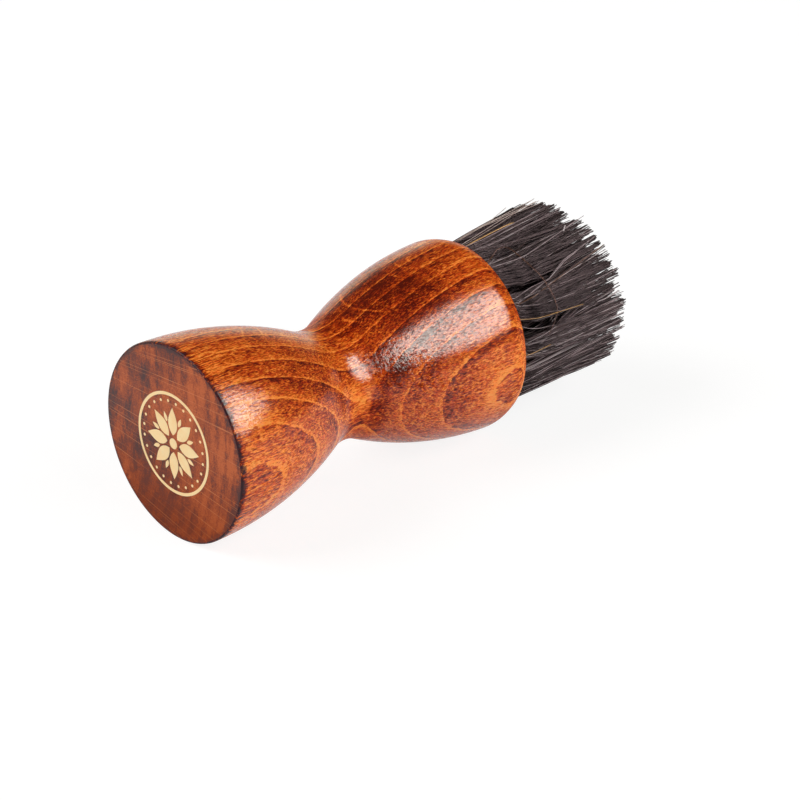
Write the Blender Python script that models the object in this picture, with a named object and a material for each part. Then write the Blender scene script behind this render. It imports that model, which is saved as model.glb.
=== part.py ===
"""Polish dauber: a turned wooden handle whose head holds nineteen tufts of bristle.

The dauber lies on its side on the plane z = 0. The turning axis is level and runs along X, from
the flat end of the knob to the tips of the bristles, and the origin is under the middle of the
whole length. Each tuft is a bundle of hair folded round a flat wire anchor and driven into its own
hole, where the ends of the anchor bite into the wood. Lengths are in metres.
"""

import math

import bmesh
import bpy
from mathutils import Matrix, Vector

MM = 0.001

# The handle, turned from one piece: a knob and a head that mirror each other about the waist
HANDLE_LENGTH = 65.5 * MM
CROWN_RADIUS = 17.6 * MM
WAIST_RADIUS = 10.1 * MM
HOLLOW_SHARE = 0.143
KNOB_EDGE_BREAK = 0.35 * MM
HEAD_ROUND_LENGTH = 3.0 * MM
HEAD_ROUND_RADIUS = 6.0 * MM
HEAD_EDGE_BREAK = 0.4 * MM

# The holes in the face of the head: one in the middle and two rings round it
HOLE_RADIUS = 2.5 * MM
HOLE_DEPTH = 14.0 * MM
DRILL_POINT = 1.0 * MM
RIM_WALL = 1.25 * MM
RINGS = 2
TUFTS_PER_RING_STEP = 6
RING_TURN = math.radians(22.5)

# The anchors, cut from flat wire
ANCHOR_BITE = 0.5 * MM
ANCHOR_HEIGHT = 1.6 * MM
ANCHOR_THICKNESS = 0.4 * MM
ANCHOR_TURN = math.radians(45)
FOLD_THICKNESS = 1.2 * MM

# The bristles
BRISTLE_LENGTH = 27.6 * MM
BUNDLE_FLARE = 0.9 * MM
STRANDS_PER_TUFT = 25
STRAND_ROOT_RADIUS = 0.26 * MM
STRAND_TIP_RADIUS = 0.38 * MM
STRAND_GAP = 0.1 * MM
ROOT_STAND = 0.6 * MM
TRIM_DEPTH = 1.5 * MM
LEAN = 1.7 * MM
LEAN_DIRECTION = math.radians(146.6)

CLEARANCE = 0.3 * MM

# Facets and points: they set how finely the curved forms are cut, not their size
HANDLE_SIDES = 48
CROWN_STEPS = 8
HOLLOW_STEPS = 3
HEAD_ROUND_STEPS = 3
HOLE_SIDES = 16
STRAND_SIDES = 4
SHARP_ANGLE = math.radians(30)
GOLDEN_ANGLE = math.pi * (3 - math.sqrt(5))
GOLDEN_SHARE = (math.sqrt(5) - 1) / 2

WOOD = {"colour": (0.36, 0.10, 0.025), "roughness": 0.32, "metallic": 0.0}
HAIR = {"colour": (0.030, 0.026, 0.028), "roughness": 0.45, "metallic": 0.0}
STEEL = {"colour": (0.56, 0.56, 0.55), "roughness": 0.35, "metallic": 1.0}


def clear_scene():
    for obj in list(bpy.data.objects):
        bpy.data.objects.remove(obj, do_unlink=True)


def material(name, look):
    made = bpy.data.materials.new(name)
    made.use_nodes = True
    shader = made.node_tree.nodes["Principled BSDF"]
    shader.inputs["Base Color"].default_value = (*look["colour"], 1)
    shader.inputs["Roughness"].default_value = look["roughness"]
    shader.inputs["Metallic"].default_value = look["metallic"]
    return made


def place(name, bm, axis, finish=None, location=(0, 0, 0), turn=0.0):
    """Makes an object from a bmesh, on the dauber's axis, which is its parent."""
    bmesh.ops.recalc_face_normals(bm, faces=bm.faces)
    mesh = bpy.data.meshes.new(name)
    bm.to_mesh(mesh)
    bm.free()
    mesh.shade_smooth()
    mesh.set_sharp_from_angle(angle=SHARP_ANGLE)
    obj = bpy.data.objects.new(name, mesh)
    bpy.context.scene.collection.objects.link(obj)
    obj.parent = axis
    obj.location = location
    obj.rotation_euler.z = turn
    if finish:
        mesh.materials.append(finish)
    return obj


def helper(obj):
    """Leaves a cutter or a piece that a Boolean joins out of the dauber itself."""
    obj.hide_render = True
    obj.display_type = "WIRE"
    return obj


def boolean(obj, operation, other):
    modifier = obj.modifiers.new(other.name, "BOOLEAN")
    modifier.operation = operation
    modifier.object = other
    modifier.solver = "EXACT"


# The profile: (radius, distance) of points along the turned outline

def slope_at_joint():
    """The steepest slope of the outline, where the hollow at the waist meets a crown arc."""
    return 2 * math.atan2(CROWN_RADIUS - WAIST_RADIUS, HANDLE_LENGTH / 2)


def crown_arc():
    return (1 - HOLLOW_SHARE) * HANDLE_LENGTH / 2 / math.sin(slope_at_joint())


def crown_drop(distance):
    """How far the crown arc has fallen at a distance from the end of the handle."""
    return crown_arc() - math.sqrt(crown_arc()**2 - distance**2)


def half_outline():
    """(radius, distance from the waist) from the waist to the crown at the end of the handle."""
    half = HANDLE_LENGTH / 2
    joint = HOLLOW_SHARE * half
    hollow = joint / math.sin(slope_at_joint())
    points = []
    for i in range(HOLLOW_STEPS):
        along = joint * i / HOLLOW_STEPS
        points.append((WAIST_RADIUS + hollow - math.sqrt(hollow**2 - along**2), along))
    for i in range(CROWN_STEPS + 1):
        along = joint + (half - joint) * i / CROWN_STEPS
        points.append((CROWN_RADIUS - crown_drop(half - along), along))
    return points


def head_round():
    """(radius, distance from the waist) where the head turns in towards its face."""
    start = HANDLE_LENGTH / 2 - HEAD_ROUND_LENGTH
    radius = CROWN_RADIUS - crown_drop(HEAD_ROUND_LENGTH)
    points = []
    for i in range(HEAD_ROUND_STEPS + 1):
        run = (HEAD_ROUND_LENGTH - HEAD_EDGE_BREAK) * i / HEAD_ROUND_STEPS
        turned_in = HEAD_ROUND_RADIUS - math.sqrt(HEAD_ROUND_RADIUS**2 - run**2)
        points.append((radius - turned_in, start + run))
    return points


def face_radius():
    """The flat face of the head, inside its broken edge."""
    return head_round()[-1][0] - HEAD_EDGE_BREAK


def outline():
    middle = HANDLE_LENGTH / 2
    half = half_outline()
    knob = [(0, 0), (CROWN_RADIUS - KNOB_EDGE_BREAK, 0), (CROWN_RADIUS, KNOB_EDGE_BREAK)]
    knob += [(r, middle - s) for r, s in reversed(half[:-1])]
    round_start = head_round()[0][1]
    head = [(r, middle + s) for r, s in half[1:] if s < round_start]
    head += [(r, middle + s) for r, s in head_round()]
    return knob + head + [(face_radius(), HANDLE_LENGTH), (0, HANDLE_LENGTH)]


def turned(points, sides):
    """The solid that an outline sweeps round Z, with a flat of the facets facing along X."""
    bm = bmesh.new()
    flat_first = Matrix.Rotation(math.pi / sides, 4, "Z")
    verts = [bm.verts.new(flat_first @ Vector((radius, 0, z))) for radius, z in points]
    edges = [bm.edges.new(pair) for pair in zip(verts, verts[1:])]
    bmesh.ops.spin(
        bm, geom=verts + edges, axis=(0, 0, 1), cent=(0, 0, 0), angle=2 * math.pi,
        steps=sides, use_merge=True, use_normal_flip=False,
    )
    bmesh.ops.remove_doubles(bm, verts=bm.verts, dist=1e-7)
    return bm


# The pattern of tufts

def outer_ring_radius():
    return face_radius() - RIM_WALL - HOLE_RADIUS


def tuft_places():
    """[(name, ring, angle)]: one tuft in the middle and rings of 6, 12 and so on."""
    found = [("centre", 0, 0.0)]
    for ring in range(1, RINGS + 1):
        count = TUFTS_PER_RING_STEP * ring
        word = "outer" if ring == RINGS else "middle"
        for i in range(count):
            found.append((f"{word}_{i + 1:02d}", ring, RING_TURN + 2 * math.pi * i / count))
    return found


def root_point(ring, angle):
    radius = outer_ring_radius() * ring / RINGS
    return Vector((radius * math.cos(angle), radius * math.sin(angle), HANDLE_LENGTH))


def packed_radius():
    """How far the strands of a tuft stand from its middle in the root."""
    return HOLE_RADIUS - CLEARANCE - STRAND_ROOT_RADIUS - STRAND_GAP / 2


def strand_reach():
    """How far the outermost strands of the whole bundle stand from the axis at the tips."""
    return outer_ring_radius() + HOLE_RADIUS - CLEARANCE + BUNDLE_FLARE - STRAND_TIP_RADIUS


def fanned_radius():
    """How far the strands of a tuft stand from its middle at the tips, where tufts almost meet."""
    between = 2 * STRAND_TIP_RADIUS + STRAND_GAP
    return (strand_reach() / RINGS - between) / (2 + 1 / RINGS)


def tip_point(ring, angle):
    """The middle of a tuft at the tips, before the lean."""
    radius = (strand_reach() - fanned_radius()) * ring / RINGS
    return Vector((radius * math.cos(angle), radius * math.sin(angle), 0))


# The pieces

def hole_bore():
    """One drilled hole, from above the face down to the drill's point."""
    tip = -HOLE_DEPTH - DRILL_POINT
    above = 2 * CLEARANCE
    return turned([(0, tip), (HOLE_RADIUS, -HOLE_DEPTH), (HOLE_RADIUS, above), (0, above)], HOLE_SIDES)


def anchor_plate(margin=0.0):
    """The anchor's form, or with a margin the room it needs in the wood and through the tuft."""
    size = (2 * (HOLE_RADIUS + ANCHOR_BITE), ANCHOR_THICKNESS, ANCHOR_HEIGHT)
    over_the_fold = -HOLE_DEPTH + CLEARANCE + FOLD_THICKNESS + CLEARANCE + ANCHOR_HEIGHT / 2
    bm = bmesh.new()
    bmesh.ops.create_cube(bm, size=1)
    bmesh.ops.scale(bm, vec=[side + 2 * margin for side in size], verts=bm.verts)
    bmesh.ops.translate(bm, vec=(0, 0, over_the_fold), verts=bm.verts)
    return bm


def anchor_room():
    return anchor_plate(CLEARANCE)


def joined(make, places):
    """Copies of one form at each tuft's place, in one mesh."""
    bm = bmesh.new()
    for _, ring, angle in places:
        one = make()
        turn = Matrix.Rotation(angle + ANCHOR_TURN, 4, "Z")
        one.transform(Matrix.Translation(root_point(ring, angle)) @ turn)
        copy = bpy.data.meshes.new("copy")
        one.to_mesh(copy)
        one.free()
        bm.from_mesh(copy)
        bpy.data.meshes.remove(copy)
    return bm


def handle(axis, finish, places):
    made = place("handle", turned(outline(), HANDLE_SIDES), axis, finish)
    holes = place("cut_holes", joined(hole_bore, places), axis)
    bites = place("cut_anchor_bites", joined(anchor_room, places), axis)
    boolean(made, "DIFFERENCE", helper(holes))
    boolean(made, "DIFFERENCE", helper(bites))
    return made


def tuft_root():
    """The part of the tuft inside the hole, where the hair is packed solid."""
    radius = HOLE_RADIUS - CLEARANCE
    bottom = -HOLE_DEPTH + CLEARANCE
    return turned([(0, bottom), (radius, bottom), (radius, ROOT_STAND), (0, ROOT_STAND)], HOLE_SIDES)


def strand_ends(start, end, length):
    """[(middle, radius)] of a strand where it is sunk in the root and at its tip."""
    ends = []
    for height in (ROOT_STAND - STRAND_ROOT_RADIUS, length):
        reach = height / BRISTLE_LENGTH
        middle = start.lerp(end, reach)
        middle.z = height
        radius = STRAND_ROOT_RADIUS + (STRAND_TIP_RADIUS - STRAND_ROOT_RADIUS) * reach
        ends.append((middle, radius))
    return ends


def add_strand(bm, ends, twist):
    loops = []
    for middle, radius in ends:
        loop = []
        for i in range(STRAND_SIDES):
            angle = twist + 2 * math.pi * i / STRAND_SIDES
            spoke = Vector((math.cos(angle), math.sin(angle), 0))
            loop.append(bm.verts.new(middle + spoke * radius))
        loops.append(loop)
    low, high = loops
    for i in range(STRAND_SIDES):
        j = (i + 1) % STRAND_SIDES
        bm.faces.new((low[i], low[j], high[j], high[i]))
    bm.faces.new(reversed(low))
    bm.faces.new(high)


def strands(ring, angle, number):
    """The free hair of one tuft, in the tuft's own place: it fans out and never crosses itself."""
    bm = bmesh.new()
    root = root_point(ring, angle)
    lean = Vector((math.cos(LEAN_DIRECTION), math.sin(LEAN_DIRECTION), 0)) * LEAN
    drift = tip_point(ring, angle) - Vector((root.x, root.y, 0)) + lean
    for i in range(STRANDS_PER_TUFT):
        out = math.sqrt((i + 0.5) / STRANDS_PER_TUFT)
        way = Vector((math.cos(i * GOLDEN_ANGLE), math.sin(i * GOLDEN_ANGLE), 0)) * out
        trim = TRIM_DEPTH * ((i + number * STRANDS_PER_TUFT) * GOLDEN_SHARE % 1.0)
        start = way * packed_radius()
        end = drift + way * fanned_radius()
        add_strand(bm, strand_ends(start, end, BRISTLE_LENGTH - trim), i * GOLDEN_ANGLE)
    return bm


def tuft(name, ring, angle, number, axis, finish):
    where = root_point(ring, angle)
    made = place(f"tuft_{name}", tuft_root(), axis, finish, where)
    free_hair = place(f"strands_{name}", strands(ring, angle, number), axis, None, where)
    tunnel = place(f"tunnel_{name}", anchor_room(), axis, None, where, angle + ANCHOR_TURN)
    boolean(made, "UNION", helper(free_hair))
    boolean(made, "DIFFERENCE", helper(tunnel))
    return made


def anchor(name, ring, angle, axis, finish):
    where = root_point(ring, angle)
    return place(f"anchor_{name}", anchor_plate(), axis, finish, where, angle + ANCHOR_TURN)


def lying_axis():
    """The turning axis, level and as high as the flat of the lowest facet needs."""
    axis = bpy.data.objects.new("turning_axis", None)
    bpy.context.scene.collection.objects.link(axis)
    height = CROWN_RADIUS * math.cos(math.pi / HANDLE_SIDES)
    axis.location = (-(HANDLE_LENGTH + BRISTLE_LENGTH) / 2, 0, height)
    axis.rotation_euler = (0, math.pi / 2, 0)
    return axis


def main():
    clear_scene()
    wood = material("stained_wood", WOOD)
    hair = material("horsehair", HAIR)
    steel = material("anchor_wire", STEEL)
    axis = lying_axis()
    places = tuft_places()
    handle(axis, wood, places)
    for number, (name, ring, angle) in enumerate(places):
        tuft(name, ring, angle, number, axis, hair)
        anchor(name, ring, angle, axis, steel)


main()
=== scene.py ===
"""The looks of the polish dauber: stained turned wood, black horsehair and a foil rosette."""

import math

import bmesh
import bpy
import numpy as np
from mathutils import Matrix, Vector


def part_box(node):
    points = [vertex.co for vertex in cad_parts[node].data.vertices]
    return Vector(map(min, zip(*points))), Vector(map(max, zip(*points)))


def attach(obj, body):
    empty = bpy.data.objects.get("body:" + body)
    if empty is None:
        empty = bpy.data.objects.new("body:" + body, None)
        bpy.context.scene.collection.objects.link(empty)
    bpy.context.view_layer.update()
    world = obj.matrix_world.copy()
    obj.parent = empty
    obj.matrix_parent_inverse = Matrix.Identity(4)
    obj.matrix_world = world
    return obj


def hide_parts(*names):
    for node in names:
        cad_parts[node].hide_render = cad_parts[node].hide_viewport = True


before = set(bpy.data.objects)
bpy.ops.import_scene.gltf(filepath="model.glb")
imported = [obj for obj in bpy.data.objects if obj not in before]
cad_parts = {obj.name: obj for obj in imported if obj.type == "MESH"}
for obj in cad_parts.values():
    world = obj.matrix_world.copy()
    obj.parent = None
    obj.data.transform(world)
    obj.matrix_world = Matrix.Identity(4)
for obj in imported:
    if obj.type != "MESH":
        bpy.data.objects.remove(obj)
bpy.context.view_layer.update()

MM = 0.001

# The handle's profile, with the same values as the CAD source, in millimetres
HANDLE_LENGTH = 65.5
CROWN_RADIUS = 17.6
WAIST_RADIUS = 10.1
HOLLOW_SHARE = 0.143
KNOB_EDGE_BREAK = 0.35
HEAD_ROUND_LENGTH = 3.0
HEAD_ROUND_RADIUS = 6.0
HEAD_EDGE_BREAK = 0.4

# The handle's mesh, with the waves that turning leaves
HANDLE_SIDES = 288
HANDLE_STEP = 0.42
KNOB_EDGE_STEPS = 6
HEAD_ROUND_STEPS = 9
HEAD_EDGE_STEPS = 5
TURNING_WAVES = 6
WAVE_HEIGHT = 0.006
HANDLE_SEED = 5

# The holes, as in the CAD source, in millimetres
HOLE_RADIUS = 2.5
HOLE_DEPTH = 14.0
HOLE_SIDES = 40
DRILL_POINT = 1.0
RIM_WALL = 1.25
RING_TURN = math.radians(22.5)

handle_low, handle_high = (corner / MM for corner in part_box("handle"))
FLAT_END_X = handle_low.x
FACE_X = handle_high.x
AXIS_Z = (handle_low.z + handle_high.z) / 2

# The camera of the photograph, from the middle of the flat end, in millimetres
CAMERA_FROM_FLAT_END = Vector((-293.26, -371.79, 237.96))
CAMERA_RIGHT = Vector((0.73374, -0.67943, 0.0))
CAMERA_UP = Vector((0.29752, 0.3213, 0.89903))
CAMERA_BACK = Vector((-0.61083, -0.65965, 0.43789))
CAMERA_LENS = 144.0

# The growth rings: cylinders round a pith line beside the dauber
BARK_SIDE = math.radians(191.5)
PITH_DISTANCE = 60.0
FIRST_RING = 17.0
RING_WIDTH = 2.1
RING_GROWTH = 0.09

# Across one ring: how dark its late wood is, how bright its first line, and how dark cut grain is
LATE_STOPS = ((0, 0), (0.35, 0.08), (0.65, 0.4), (0.88, 0.95), (0.985, 1), (1, 0))
LINE_STOPS = ((0, 1), (0.045, 1), (0.11, 0.25), (0.25, 0), (0.985, 0), (1, 1))
BAND_STOPS = ((0, 0.1), (0.25, 0), (0.5, 0.7), (0.8, 1), (0.95, 0.7), (1, 0.1))

# The rings are faint round this place: along the axis, angle, and where that starts and ends to fade
CALM_PLACE = (36, 166)
CALM_REACH = (2.5, 6.5)

# Rays on the flat end run at their own angle, as if from a pith at this distance
RAY_SIDE = math.radians(183.5)
RAY_DISTANCE = 90.0

# The stain's colours from pale to dark where it is amber and where it is red, and on cut grain
AMBER_STAIN = (
    (0, (1, 0.36, 0.06)), (0.15, (0.9, 0.265, 0.034)), (0.3, (0.76, 0.18, 0.016)),
    (0.45, (0.6, 0.115, 0.008)), (0.6, (0.44, 0.066, 0.004)), (0.75, (0.3, 0.034, 0.0025)),
    (0.9, (0.175, 0.014, 0.0015)), (1, (0.09, 0.006, 0.001)),
)
RED_STAIN = (
    (0, (1, 0.24, 0.032)), (0.15, (0.88, 0.15, 0.018)), (0.3, (0.73, 0.092, 0.009)),
    (0.45, (0.58, 0.056, 0.005)), (0.6, (0.42, 0.031, 0.003)), (0.75, (0.28, 0.016, 0.002)),
    (0.9, (0.16, 0.008, 0.0015)), (1, (0.08, 0.005, 0.0012)),
)
END_STAIN = (
    (0, (0.52, 0.118, 0.036)), (0.35, (0.35, 0.072, 0.025)),
    (0.65, (0.18, 0.045, 0.028)), (1, (0.075, 0.034, 0.034)),
)
SCORCHED = (0.022, 0.012, 0.02, 1)
RAY_COLOUR = (0.72, 0.24, 0.09, 1)
LOW_END_COLOUR = (0.25, 0.042, 0.008, 1)

# Darker and paler areas of the stain, some of them painted light: along the axis, angle round it from +Y
# towards +Z, reach, amount
TONES = (
    (46, 98, 19, 0.5),
    (37, 80, 8, 0.22),
    (37.2, 142, 3.5, 0.22),
    (39.5, 157, 5.5, 0.38),
    (50, 146, 12, 0.16),
    (42, 172, 9, 0.1),
    (20, 145, 13, 0.12),
    # Paler low at the front of the knob: painted reflection of the floor.
    (12, 198, 17, -0.12),
    (50, 190, 9, 0.1),
    (3, 118, 7, -0.12),
    # Painted light: paler low at the front of the head, painted reflection of the floor; paler on the knob
    # under its highlight, painted highlight; paler under the waist, painted reflection of the floor.
    (60, 188, 15, -0.14),
    (5, 152, 7, -0.36),
    (32, 182, 5, -0.34),
    (27, 92, 9, -0.16),
)

# Thin pale marks round the girth: place along the axis, angle where it lies, how much further
# the mark is 10 degrees from there, and its first and last angle
GIRTH_MARKS = (
    (40, 87, 0.45, 58, 116),
    (52.1, 85.5, 1.22, 70, 99),
    (54.2, 87, 2.5, 77, 94),
    (49.4, 88, 1.1, 82, 98),
    (37.5, 92, 0.5, 84, 112),
    (16.6, 76, -0.65, 66, 100),
    (19.6, 77, -0.37, 66, 102),
)

# The rough strip of the lacquer beside the waist: its start and end along the axis, the angle of its
# middle at the start, how far that turns per millimetre, and its half width in degrees
CRACKLE = (34.9, 51, 150, 1.5, 21)
CRACKLE_FADE = 9

# The lacquer shines on a slanting strip of the waist: its place along the axis at an angle, and how far
# it moves per degree
GLOW_PLACE = 33.7
GLOW_ANGLE = 145
GLOW_TURN = 0.055

# The dark side of the waist: the sharp line round the girth where it starts, and where it fades
WAIST_STEP = 34.7
WAIST_FADE = (36, 42)

# The single hairs of a tuft, one for each cell of its bake map, and the share of the map they fill
HAIR_CELLS = (56, 8)
HAIRS_PER_TUFT = HAIR_CELLS[0] * HAIR_CELLS[1]
HAIR_MAP_SHARE = 0.94
TUFT_SEED = 100

# The form of a hair, with its steps as shares of its length
HAIR_RADIUS = 0.083
HAIR_SIDES = 3
HAIR_STEPS = (0, 0.08, 0.15, 0.3, 0.47, 0.65, 0.83, 0.99, 1)
HAIR_TAPER = (1, 1, 1, 1, 1, 0.98, 0.97, 0.95, 0.7)

# Where the hairs of a tuft start and end, in millimetres
BRISTLE_LENGTH = 27.6
ROOT_REACH = 2.05
ROOT_DEPTH = -1.4
PLUG_TOP = -1.0
TIP_REACH = 16.2
TIP_INSET = 3.0
LEAN = np.array([0.94, 1.42])
GOLDEN_ANGLE = math.pi * (3 - math.sqrt(5))

# Locks of hairs that end in a point, and how hairs stray from them at their tips
LOCKS = 24
LOCK_POINT = 3.2
TIP_SPREAD = 3.6
LOCK_SWAY = 0.9
HAIR_SWAY = 0.15
STRAY_SHARE = 0.11
STRAY_SWAY = 2.2
STRAY_LIMIT = 4.5
CUT_SHARE = 0.05
INWARD_TRIM = 1.7

# Hairs on the outside of an outer tuft that run over its neighbours, in wisps
CROSSING_HAIRS = 40
WISPS = 8

# How hairs wave and bow, in millimetres
HAIR_WAVE = 0.10
HAIR_BOW = 0.22

# How tufts widen, and the whole bundle turns, over the first millimetres outside the head
FAN = 0.5
INNER_FAN = 0.4
TWIST = math.radians(7)
TWIST_LENGTH = 4.4

# Inner tufts have thicker hairs, with painted shade that darkens them near the head
INNER_THICKNESS = 1.4
INNER_PAINTED_SHADE = (0.1, 0.15, 0.2, 0.35, 0.55, 0.8, 1, 1, 1)

# How short the tips are trimmed, in millimetres: in the middle, and more towards the top and the back
TRIM_MIDDLE = 1.7
TRIM_UP = 1.3
TRIM_BACK = 1.1

# The dark wedges between outer tufts near the head, in millimetres: angle between the tufts, width, length
WEDGES = ((127.5, 1.3, 12), (157.5, 4, 14))
OTHER_WEDGE = (0.3, 4)
WEDGE_START = 1.0
PARTING_TURN = math.radians(2)

# Shares of pale grey hairs, which are painted glints, and of brown hairs, and the side that has the most
# painted glints
PAINTED_GLINT_SHARE = 0.10
MORE_PAINTED_GLINTS = 0.20
BROWN_SHARE = 0.02
PAINTED_GLINT_SIDE = math.radians(195)

# Single hairs that stand out: tuft, how brown, how pale, thickness, and points as along from the face,
# angle, distance out
SINGLE_HAIRS = (
    ("outer_06", 1, 0.95, 1.5, (
        (-1.4, 83, 14), (3.4, 84, 14.9), (8.3, 85, 15.3), (12.5, 86.5, 15.65), (14.5, 87, 15.6))),
    ("outer_08", 1, 0.85, 1.1, (
        (-1.4, 151, 13.8), (2, 156, 14.7), (5.8, 160, 15.15), (10.6, 162, 15.6), (16, 164, 16))),
    ("outer_09", 1, 0.85, 1.1, ((-1.4, 180, 14), (2.5, 182, 14.85), (5.3, 182, 15.1), (8, 182, 15.1))),
    ("outer_07", 1, 0.3, 1.5, (
        (-1.4, 112, 14), (2.1, 109, 15), (6.1, 103, 15.25), (7.7, 106.5, 15.3), (8, 113.5, 15.35),
        (8.6, 126, 15.4), (9.5, 137, 15.4), (10, 148, 15.45), (10.2, 156.5, 15.45), (9.8, 163.5, 15.4),
        (7.2, 174, 15.3))),
    # The pale grey hairs below are painted light: glints on them, and light through the loose hairs near the
    # top.
    ("outer_08", 0, 0.85, 0.8, (
        (-1.4, 149, 13.8), (0.6, 156, 14.5), (1.8, 161, 14.8), (4.7, 166, 15.1), (9, 169, 15.4))),
    ("outer_05", 0.2, 0.95, 0.8, (
        (-1.4, 60, 14), (8, 65, 15.3), (13.1, 68, 15.8), (17, 63, 16.1), (20.5, 58, 16.5))),
    ("outer_05", 0.2, 1, 0.9, (
        (-1.4, 61, 14), (9, 69, 15.4), (15, 74, 16), (19.5, 78, 16.3), (22.6, 79, 16.5))),
    ("outer_05", 0.2, 1, 0.9, (
        (-1.4, 60, 14), (9, 66, 15.3), (15, 71, 15.9), (20, 73, 16.3), (23.2, 74, 16.5))),
    ("outer_05", 0.2, 0.9, 0.8, (
        (-1.4, 58, 14), (9, 68, 15.4), (14, 76, 15.9), (18.5, 81, 16.3), (22.2, 84, 16.5))),
    ("outer_06", 0.2, 0.95, 0.9, (
        (-1.4, 76, 14.1), (8, 77, 15.2), (13.2, 77, 15.8), (18, 79, 16.3), (22.8, 81, 16.6))),
    ("outer_06", 0.2, 0.85, 0.8, (
        (-1.4, 78, 14.1), (9, 80, 15.3), (15, 80, 16), (19.5, 77, 16.4), (23.6, 74, 16.6))),
    ("outer_07", 0, 0.8, 0.9, (
        (-1.4, 112, 14), (2.2, 114, 14.8), (9, 118, 15.5), (18.9, 115, 16.4), (25, 113, 16.9))),
    ("outer_09", 0, 0.95, 1.2, ((19, 166, 16.6), (21.5, 166, 16.8), (24.4, 165, 16.9))),
    ("outer_07", 0, 1, 1.6, ((19, 116, 16.5), (20.2, 113, 16.7))),
)

# The foil rosette on the flat end, in millimetres. A petal is its outer reach, width and inner reach.
FOIL_LIFT = 0.03
FOIL_SUNK = 0.02
PETALS = 8
LONG_PETAL = (6.6, 2.3, 1.55)
SHORT_PETAL = (5.7, 0.75, 3.9)
CENTRE_RADIUS = 0.95
BEADS = 24
BEAD_PLACE = 7.65
BEAD_RADIUS = 0.26
RING_RADII = (8.6, 9.15)
RING_SIDES = 128

WHITE = (1, 1, 1, 1)

# The lamps: azimuth from -Y towards +X, elevation, distance, width, height, watts, colour, shape and
# which light they leave out, in degrees and metres
LAMPS = {
    "key": (24, 28, 1.0, 1.12, 0.80, 7.8, (1.0, 0.98, 0.96), "RECTANGLE", "visible_glossy"),
    "key_gloss": (23, 35.5, 0.99, 1.15, 0.84, 20.0, (0.97, 1.0, 0.92), "ELLIPSE", "visible_diffuse"),
    "key_centre": (23, 35.5, 0.98, 0.92, 0.68, 4.4, (0.97, 1.0, 0.92), "ELLIPSE", "visible_diffuse"),
    "back_left": (-125, 42, 1.2, 0.9, 0.7, 11.4, (1, 1, 1), "RECTANGLE", None),
}


class Value:
    """A node's output, for use in formulas."""

    def __init__(self, n, socket):
        self.n, self.socket = n, socket

    def __add__(self, other):
        return self.n.math("ADD", self, other)

    def __mul__(self, other):
        return self.n.math("MULTIPLY", self, other)

    def __sub__(self, other):
        return self.n.math("SUBTRACT", self, other)

    def __rsub__(self, other):
        return self.n.math("SUBTRACT", other, self)

    def __abs__(self):
        return self.n.math("ABSOLUTE", self)

    __radd__, __rmul__ = __add__, __mul__


class Nodes:
    """Short calls that build the node tree of a material or of the world."""

    def __init__(self, owner):
        owner.use_nodes = True
        self.owner = owner
        self.tree = owner.node_tree

    def feed(self, socket, value):
        if isinstance(value, Value):
            self.tree.links.new(value.socket, socket)
        else:
            socket.default_value = value

    def add(self, kind, inputs=None, output=0, **settings):
        node = self.tree.nodes.new("ShaderNode" + kind)
        for key, value in settings.items():
            setattr(node, key, value)
        for key, value in (inputs or {}).items():
            self.feed(node.inputs[key], value)
        return Value(self, node.outputs[output])

    def math(self, operation, *values):
        return self.add("Math", dict(enumerate(values)), operation=operation)

    def vector(self, operation, *values, output=0):
        return self.add("VectorMath", dict(enumerate(values)), output=output, operation=operation)

    def dot(self, a, b):
        return self.vector("DOT_PRODUCT", a, b, output="Value")

    def distance(self, a, b):
        return self.vector("DISTANCE", a, b, output="Value")

    def parts(self, vector):
        """The X, Y and Z of a vector."""
        split = self.add("SeparateXYZ", {0: vector}).socket.node
        return [Value(self, socket) for socket in split.outputs]

    def noise(self, place, scale, detail=2.0, roughness=0.5, shift=0.0):
        """Noise from 0 to 1 whose features are 1/scale millimetres along each direction."""
        at = self.vector("MULTIPLY_ADD", place, scale, (shift, shift * 1.7, shift * 0.6))
        return self.add("TexNoise", {"Vector": at, "Scale": 1.0, "Detail": detail, "Roughness": roughness})

    def swing(self, place, scale, detail=2.0, roughness=0.5, shift=0.0):
        """The same noise from -0.5 to 0.5."""
        return self.noise(place, scale, detail, roughness, shift) - 0.5

    def span(self, value, low, high, out_low=0.0, out_high=1.0, smooth=False):
        return self.add(
            "MapRange",
            {"Value": value, "From Min": low, "From Max": high, "To Min": out_low, "To Max": out_high},
            interpolation_type="SMOOTHSTEP" if smooth else "LINEAR",
        )

    def curve(self, value, stops):
        """A value from stops of (place, value), straight between them."""
        return self.ramp(value, [(place, (level,) * 3) for place, level in stops])

    def ramp(self, value, stops):
        colour = self.add("ValToRGB", {"Fac": value}, output="Color")
        elements = colour.socket.node.color_ramp.elements
        while len(elements) < len(stops):
            elements.new(0.5)
        for element, (place, _) in zip(elements, stops):
            element.position = place
        for element, (_, shade) in zip(elements, stops):
            element.color = (*shade, 1)
        return colour

    def mix(self, share, a, b):
        return self.add("Mix", {"Factor": share, 6: a, 7: b}, output=2, data_type="RGBA")

    def bump(self, height, distance):
        return self.add("Bump", {"Height": height, "Distance": distance})

    def look(self, **values):
        """Feeds the Principled shader's sockets, and gives the material."""
        shader = self.tree.nodes["Principled BSDF"]
        for name, value in values.items():
            self.feed(shader.inputs[name.replace("_", " ")], value)
        return self.owner

    def show(self, shader, usual, output):
        """Puts another shader in the place of the usual one."""
        self.tree.nodes.remove(self.tree.nodes[usual])
        self.feed(self.tree.nodes[output].inputs["Surface"], shader)


def material_nodes(name):
    return Nodes(bpy.data.materials.new(name))


def link(obj):
    bpy.context.scene.collection.objects.link(obj)
    return obj


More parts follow.
